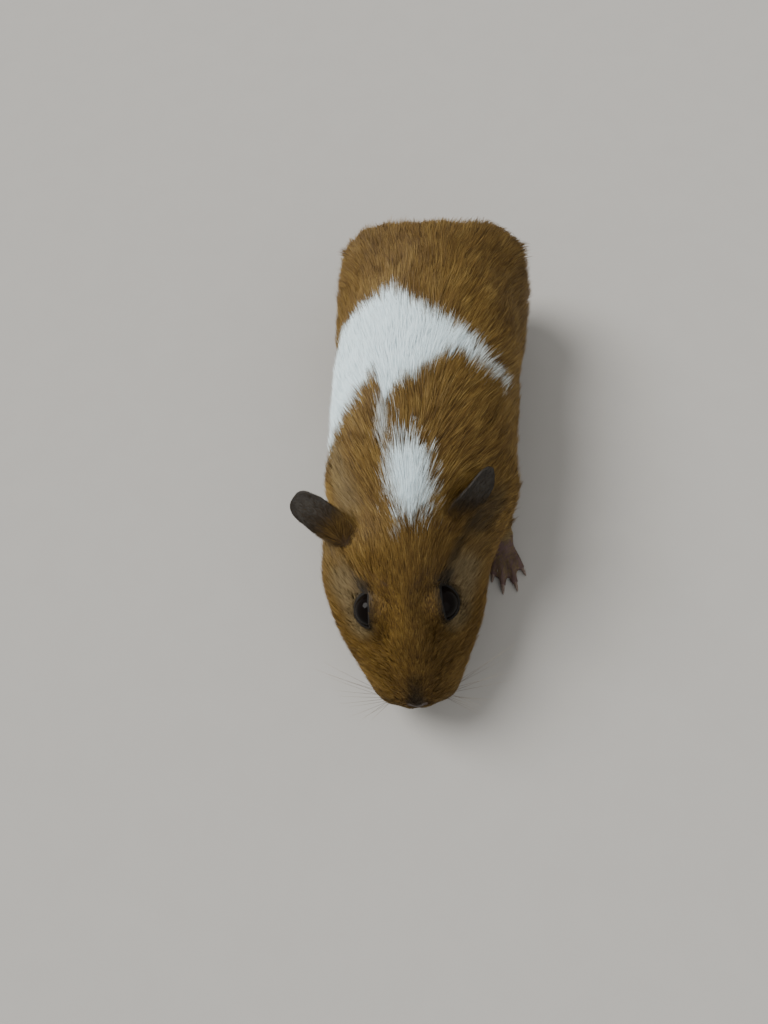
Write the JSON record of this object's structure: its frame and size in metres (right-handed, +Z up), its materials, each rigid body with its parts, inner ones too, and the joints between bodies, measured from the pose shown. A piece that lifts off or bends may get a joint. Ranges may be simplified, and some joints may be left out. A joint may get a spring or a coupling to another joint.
{
  "type": "guinea pig",
  "caption": "Young smooth-coated guinea pig standing with its nose near the floor, golden brown with a white band over the back and a white nape mark, ears spread.",
  "frame": {"origin": "on the floor under the middle of the bounding box", "axes": "+Z up, +Y from the nose towards the rump, +X towards the animal's left side"},
  "size_m": [0.0948, 0.2098, 0.0785],
  "materials": {
    "coat": "short smooth fur, golden brown with white markings",
    "ear": "thin dark bare skin",
    "foot_skin": "matt mauve-grey skin with very short hair",
    "eye": "wet black gloss",
    "claw": "smooth dark horn"
  },
  "bodies": {
    "root": {"head": "coat", "neck": "coat", "trunk": "coat", "foreleg_left": "coat", "foreleg_right": "coat", "hindleg_left": "coat", "hindleg_right": "coat", "ear_left": "ear", "ear_right": "ear", "eye_left": "eye", "eye_right": "eye", "forefoot_left": "foot_skin", "forefoot_right": "foot_skin", "hindfoot_left": "foot_skin", "hindfoot_right": "foot_skin", "claw_1_forefoot_left": "claw", "claw_2_forefoot_left": "claw", "claw_3_forefoot_left": "claw", "claw_4_forefoot_left": "claw", "claw_1_forefoot_right": "claw", "claw_2_forefoot_right": "claw", "claw_3_forefoot_right": "claw", "claw_4_forefoot_right": "claw", "claw_1_hindfoot_left": "claw", "claw_2_hindfoot_left": "claw", "claw_3_hindfoot_left": "claw", "claw_1_hindfoot_right": "claw", "claw_2_hindfoot_right": "claw", "claw_3_hindfoot_right": "claw"}
  },
  "joints": []
}
